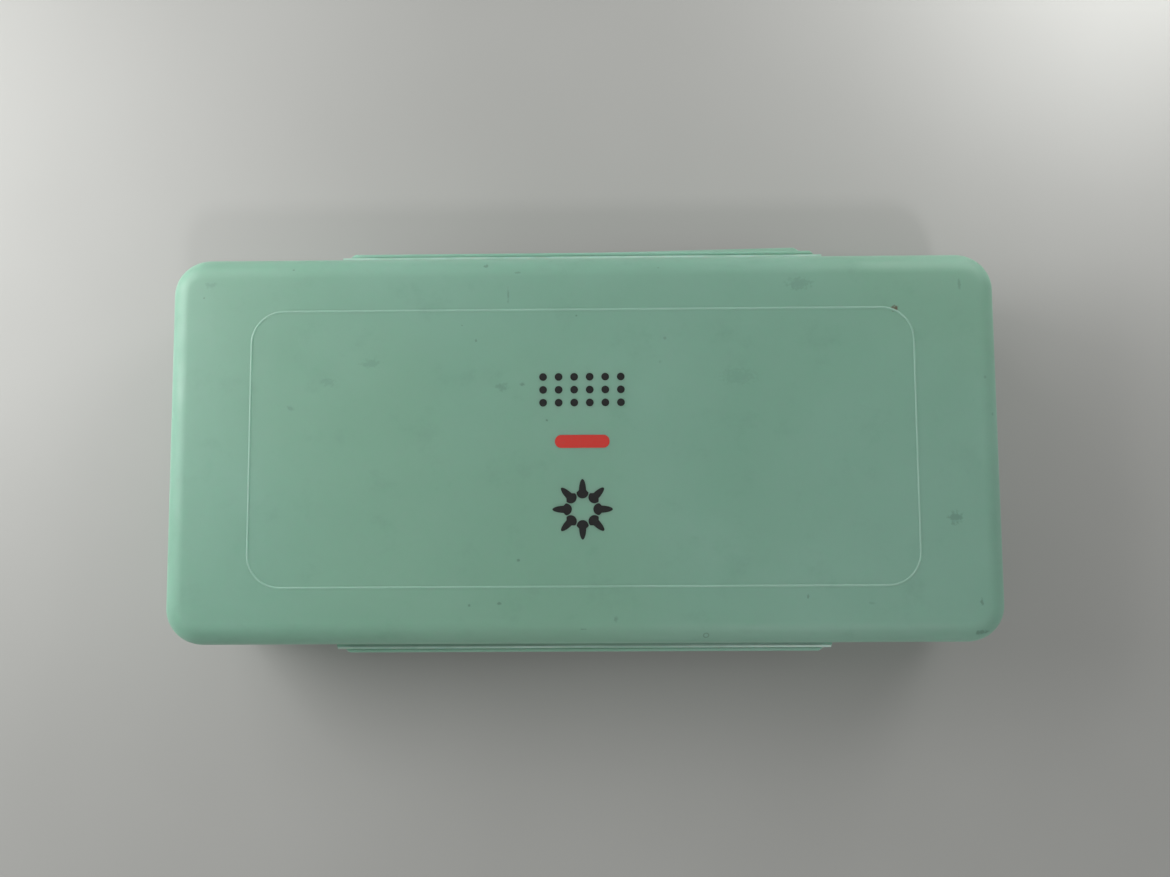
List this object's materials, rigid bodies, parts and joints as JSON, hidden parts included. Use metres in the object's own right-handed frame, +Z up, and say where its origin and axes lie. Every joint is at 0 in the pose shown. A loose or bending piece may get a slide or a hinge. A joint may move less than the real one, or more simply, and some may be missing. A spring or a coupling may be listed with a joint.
{
  "type": "gouache paint set box",
  "caption": "Flat oblong plastic paint box with a lift-off lid, long side latches on film hinges, a mixing palette, brushes and a grid of paint pots inside.",
  "frame": {"origin": "middle of the box, on the surface that it stands on", "axes": "+X along the box, +Y to the rear latch, +Z up"},
  "size_m": [0.325, 0.1687, 0.0503],
  "materials": {
    "case_plastic": "satin moulded polypropylene",
    "palette_plastic": "smooth white",
    "pot_plastic": "milky, thin-walled",
    "handle_wood": "varnished",
    "ferrule_metal": "polished",
    "bristles": "fine synthetic hair",
    "white_paint": "soft paint, matt",
    "lemon_yellow_paint": "soft paint, matt",
    "golden_yellow_paint": "soft paint, matt",
    "orange_paint": "soft paint, matt",
    "scarlet_paint": "soft paint, matt",
    "crimson_paint": "soft paint, matt",
    "rose_paint": "soft paint, matt",
    "violet_paint": "soft paint, matt",
    "ultramarine_paint": "soft paint, matt",
    "cobalt_blue_paint": "soft paint, matt",
    "sky_blue_paint": "soft paint, matt",
    "turquoise_paint": "soft paint, matt",
    "deep_green_paint": "soft paint, matt",
    "leaf_green_paint": "soft paint, matt",
    "ochre_paint": "soft paint, matt",
    "burnt_sienna_paint": "soft paint, matt",
    "umber_paint": "soft paint, matt",
    "black_paint": "soft paint, matt"
  },
  "bodies": {
    "tray": {"tray": "case_plastic"},
    "palette": {"palette": "palette_plastic"},
    "lid": {"lid": "case_plastic"},
    "front_latch": {"front_latch": "case_plastic"},
    "rear_latch": {"rear_latch": "case_plastic"},
    "pot_01": {"pot_01": "pot_plastic", "paint_01": "white_paint"},
    "pot_02": {"pot_02": "pot_plastic", "paint_02": "lemon_yellow_paint"},
    "pot_03": {"pot_03": "pot_plastic", "paint_03": "golden_yellow_paint"},
    "pot_04": {"pot_04": "pot_plastic", "paint_04": "orange_paint"},
    "pot_05": {"pot_05": "pot_plastic", "paint_05": "scarlet_paint"},
    "pot_06": {"pot_06": "pot_plastic", "paint_06": "crimson_paint"},
    "pot_07": {"pot_07": "pot_plastic", "paint_07": "rose_paint"},
    "pot_08": {"pot_08": "pot_plastic", "paint_08": "violet_paint"},
    "pot_09": {"pot_09": "pot_plastic", "paint_09": "ultramarine_paint"},
    "pot_10": {"pot_10": "pot_plastic", "paint_10": "cobalt_blue_paint"},
    "pot_11": {"pot_11": "pot_plastic", "paint_11": "sky_blue_paint"},
    "pot_12": {"pot_12": "pot_plastic", "paint_12": "turquoise_paint"},
    "pot_13": {"pot_13": "pot_plastic", "paint_13": "deep_green_paint"},
    "pot_14": {"pot_14": "pot_plastic", "paint_14": "leaf_green_paint"},
    "pot_15": {"pot_15": "pot_plastic", "paint_15": "ochre_paint"},
    "pot_16": {"pot_16": "pot_plastic", "paint_16": "burnt_sienna_paint"},
    "pot_17": {"pot_17": "pot_plastic", "paint_17": "umber_paint"},
    "pot_18": {"pot_18": "pot_plastic", "paint_18": "black_paint"},
    "round_brush": {"round_brush_handle": "handle_wood", "round_brush_ferrule": "ferrule_metal", "round_brush_bristles": "bristles"},
    "flat_brush": {"flat_brush_handle": "handle_wood", "flat_brush_ferrule": "ferrule_metal", "flat_brush_bristles": "bristles"},
    "filbert_brush": {"filbert_brush_handle": "handle_wood", "filbert_brush_ferrule": "ferrule_metal", "filbert_brush_bristles": "bristles"}
  },
  "joints": [
    {"name": "palette_lift", "type": "slide", "parent": "tray", "child": "palette", "axis": [0, 0, 1], "range_m": [0, 0.08]},
    {"name": "lid_lift", "type": "slide", "parent": "palette", "child": "lid", "axis": [0, 0, 1], "range_m": [0, 0.08]},
    {"name": "front_latch_turn", "type": "hinge", "parent": "lid", "child": "front_latch", "pos_m": [0, -0.0785, 0.034], "axis": [-1, 0, 0], "range_deg": [-2.35, 125]},
    {"name": "rear_latch_turn", "type": "hinge", "parent": "lid", "child": "rear_latch", "pos_m": [0, 0.0785, 0.034], "axis": [1, 0, 0], "range_deg": [-10, 117]},
    {"name": "pot_01_lift", "type": "slide", "parent": "tray", "child": "pot_01", "axis": [0, 0, 1], "range_m": [0, 0.04]},
    {"name": "pot_02_lift", "type": "slide", "parent": "tray", "child": "pot_02", "axis": [0, 0, 1], "range_m": [0, 0.04]},
    {"name": "pot_03_lift", "type": "slide", "parent": "tray", "child": "pot_03", "axis": [0, 0, 1], "range_m": [0, 0.04]},
    {"name": "pot_04_lift", "type": "slide", "parent": "tray", "child": "pot_04", "axis": [0, 0, 1], "range_m": [0, 0.04]},
    {"name": "pot_05_lift", "type": "slide", "parent": "tray", "child": "pot_05", "axis": [0, 0, 1], "range_m": [0, 0.04]},
    {"name": "pot_06_lift", "type": "slide", "parent": "tray", "child": "pot_06", "axis": [0, 0, 1], "range_m": [0, 0.04]},
    {"name": "pot_07_lift", "type": "slide", "parent": "tray", "child": "pot_07", "axis": [0, 0, 1], "range_m": [0, 0.04]},
    {"name": "pot_08_lift", "type": "slide", "parent": "tray", "child": "pot_08", "axis": [0, 0, 1], "range_m": [0, 0.04]},
    {"name": "pot_09_lift", "type": "slide", "parent": "tray", "child": "pot_09", "axis": [0, 0, 1], "range_m": [0, 0.04]},
    {"name": "pot_10_lift", "type": "slide", "parent": "tray", "child": "pot_10", "axis": [0, 0, 1], "range_m": [0, 0.04]},
    {"name": "pot_11_lift", "type": "slide", "parent": "tray", "child": "pot_11", "axis": [0, 0, 1], "range_m": [0, 0.04]},
    {"name": "pot_12_lift", "type": "slide", "parent": "tray", "child": "pot_12", "axis": [0, 0, 1], "range_m": [0, 0.04]},
    {"name": "pot_13_lift", "type": "slide", "parent": "tray", "child": "pot_13", "axis": [0, 0, 1], "range_m": [0, 0.04]},
    {"name": "pot_14_lift", "type": "slide", "parent": "tray", "child": "pot_14", "axis": [0, 0, 1], "range_m": [0, 0.04]},
    {"name": "pot_15_lift", "type": "slide", "parent": "tray", "child": "pot_15", "axis": [0, 0, 1], "range_m": [0, 0.04]},
    {"name": "pot_16_lift", "type": "slide", "parent": "tray", "child": "pot_16", "axis": [0, 0, 1], "range_m": [0, 0.04]},
    {"name": "pot_17_lift", "type": "slide", "parent": "tray", "child": "pot_17", "axis": [0, 0, 1], "range_m": [0, 0.04]},
    {"name": "pot_18_lift", "type": "slide", "parent": "tray", "child": "pot_18", "axis": [0, 0, 1], "range_m": [0, 0.04]},
    {"name": "round_brush_lift", "type": "slide", "parent": "palette", "child": "round_brush", "axis": [0, 0, 1], "range_m": [0, 0.032]},
    {"name": "flat_brush_lift", "type": "slide", "parent": "palette", "child": "flat_brush", "axis": [0, 0, 1], "range_m": [0, 0.032]},
    {"name": "filbert_brush_lift", "type": "slide", "parent": "palette", "child": "filbert_brush", "axis": [0, 0, 1], "range_m": [0, 0.032]}
  ],
  "couplings": [
    {"joint": "pot_01_lift", "follows": "palette_lift", "ratio": 0.5},
    {"joint": "pot_02_lift", "follows": "palette_lift", "ratio": 0.5},
    {"joint": "pot_03_lift", "follows": "palette_lift", "ratio": 0.5},
    {"joint": "pot_04_lift", "follows": "palette_lift", "ratio": 0.5},
    {"joint": "pot_05_lift", "follows": "palette_lift", "ratio": 0.5},
    {"joint": "pot_06_lift", "follows": "palette_lift", "ratio": 0.5},
    {"joint": "pot_07_lift", "follows": "palette_lift", "ratio": 0.5},
    {"joint": "pot_08_lift", "follows": "palette_lift", "ratio": 0.5},
    {"joint": "pot_09_lift", "follows": "palette_lift", "ratio": 0.5},
    {"joint": "pot_10_lift", "follows": "palette_lift", "ratio": 0.5},
    {"joint": "pot_11_lift", "follows": "palette_lift", "ratio": 0.5},
    {"joint": "pot_12_lift", "follows": "palette_lift", "ratio": 0.5},
    {"joint": "pot_13_lift", "follows": "palette_lift", "ratio": 0.5},
    {"joint": "pot_14_lift", "follows": "palette_lift", "ratio": 0.5},
    {"joint": "pot_15_lift", "follows": "palette_lift", "ratio": 0.5},
    {"joint": "pot_16_lift", "follows": "palette_lift", "ratio": 0.5},
    {"joint": "pot_17_lift", "follows": "palette_lift", "ratio": 0.5},
    {"joint": "pot_18_lift", "follows": "palette_lift", "ratio": 0.5},
    {"joint": "round_brush_lift", "follows": "lid_lift", "ratio": 0.4},
    {"joint": "flat_brush_lift", "follows": "lid_lift", "ratio": 0.4},
    {"joint": "filbert_brush_lift", "follows": "lid_lift", "ratio": 0.4}
  ]
}
